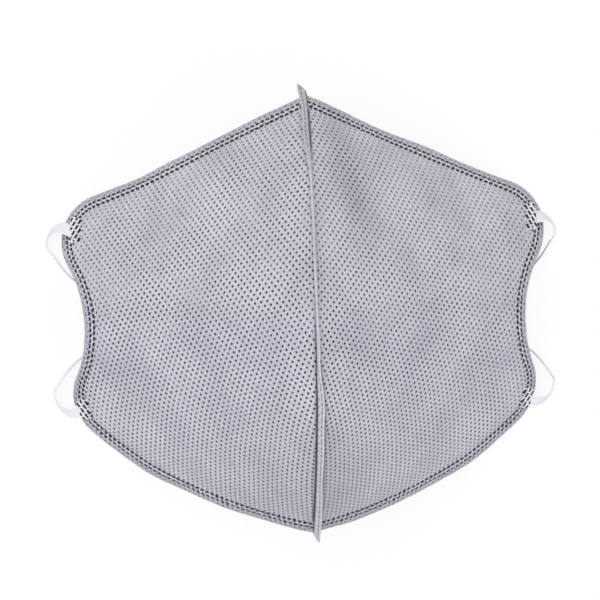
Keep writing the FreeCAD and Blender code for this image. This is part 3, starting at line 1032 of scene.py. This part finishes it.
def white_world():
    """Soft light from all round, which the camera sees as white."""
    world = bpy.data.worlds.new("studio")
    bpy.context.scene.world = world
    world.use_nodes = True
    tree = world.node_tree
    glow = tree.nodes["Background"]
    white = tree.nodes.new("ShaderNodeBackground")
    white.inputs["Strength"].default_value = 1.0
    glow.inputs["Strength"].default_value = 0.7
    for node in (glow, white):
        node.inputs["Color"].default_value = (1, 1, 1, 1)
    seen = tree.nodes.new("ShaderNodeLightPath")
    mix = tree.nodes.new("ShaderNodeMixShader")
    tree.links.new(seen.outputs["Is Camera Ray"], mix.inputs[0])
    tree.links.new(glow.outputs[0], mix.inputs[1])
    tree.links.new(white.outputs[0], mix.inputs[2])
    tree.links.new(mix.outputs[0], tree.nodes["World Output"].inputs["Surface"])


def white_table():
    """A table of white paper, its shadows lightened."""
    size = 3.0
    corners = [(-size, -size, 0), (size, -size, 0), (size, size, 0), (-size, size, 0)]
    mesh = bpy.data.meshes.new("table")
    mesh.from_pydata(corners, [], [(0, 1, 2, 3)])
    table = bpy.data.objects.new("table", mesh)
    bpy.context.scene.collection.objects.link(table)
    paint = Paint("white_table")
    paper = paint.mix(paint.noise(paint.place(), 60.0), (0.93, 0.93, 0.93, 1), (0.95, 0.95, 0.95, 1))
    mesh.materials.append(paint.finish(paper, 0.9))
    glow = paint.add("ShaderNodeEmission")
    glow.inputs["Strength"].default_value = 1.0
    ray = paint.add("ShaderNodeLightPath")
    rays = paint.math("MAXIMUM", ray.outputs["Is Camera Ray"], ray.outputs["Is Glossy Ray"])
    blend = paint.add("ShaderNodeMixShader", [paint.math("MULTIPLY", rays, TABLE_GLOW)])
    paint.tree.links.new(paint.shader.outputs[0], blend.inputs[1])
    paint.tree.links.new(glow.outputs[0], blend.inputs[2])
    paint.tree.links.new(blend.outputs[0], paint.tree.nodes["Material Output"].inputs["Surface"])


def studio():
    """A white table under soft light."""
    bpy.context.scene.view_settings.view_transform = "Standard"
    white_world()
    area_light("key", (-0.5, 0.12, 1.4), 0.9, 9)
    area_light("fill", (0.8, -0.5, 1.2), 1.2, 4)
    white_table()


def all_materials():
    """Each material by its slot in the record."""
    return {
        "outer_cover": cover_material(),
        "edge_weld": edge_material(),
        "elastic": elastic_material(),
        "band_weld": pad_material(),
        "lining": plain_cloth("white_lining", tone(240, 240, 242), tone(220, 220, 224), 1.0),
        "carbon": plain_cloth("carbon_felt", tone(92, 92, 96), tone(60, 60, 64), 1.4),
        "filter": plain_cloth("filter_felt", tone(236, 236, 238), tone(222, 222, 226), 1.4),
    }


def fabric_half(side, materials):
    """One half's four sheets and its fused rim."""
    cover, rim = outer_cover(side), edge_weld(side)
    dress(cover, materials["outer_cover"], name_of("outer_cover", side), slot="outer_cover")
    dress(rim, materials["edge_weld"], name_of("edge_weld", side), slot="edge_weld")
    sheets = [cover]
    for node, depth, step, at_rim, slot in (
        ("carbon_layer", 0.55, 3.0, 0.55, "carbon"),
        ("filter_layer", 0.9, 3.0, 0.7, "filter"),
        ("inner_lining", STACK, 1.6, 1.02, "lining"),
    ):
        layer = inner_layer(node, side, depth, step, at_rim)
        dress(layer, materials[slot], name_of(node, side), slot=slot)
        sheets.append(layer)
    for piece in sheets + [rim]:
        follow_fold(piece)


def elastic_half(side, materials):
    """One side's elastic, from weld to weld."""
    half = "right_half" if side > 0 else "left_half"
    elastic = materials["elastic"]
    for level, place, turn, hinge_y in (
        ("upper", UPPER_PAD, UPPER_PAD_TURN, UPPER_HINGE_Y),
        ("lower", LOWER_PAD, LOWER_PAD_TURN, LOWER_HINGE_Y),
    ):
        patch = band_weld(level + "_band_weld", side, place, turn)
        dress(patch, materials["band_weld"], name_of(level + "_band_weld", side), slot="band_weld")
        end = band_end(level + "_band_end", side, place, hinge_y)
        dress(end, elastic, name_of(level + "_band_end", side), slot="elastic")
        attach(patch, half)
        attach(end, half)
    loop = ear_loop(side)
    dress(loop, elastic, name_of("ear_loop", side), slot="elastic")
    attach(loop, half.replace("half", "ear_loop"))


def main():
    camera()
    studio()
    materials = all_materials()
    seam = centre_seam()
    dress(seam, seam_material(), "centre_seam", slot="edge_weld")
    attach(seam, "centre_seam")
    for side in (1, -1):
        fabric_half(side, materials)
        elastic_half(side, materials)


main()
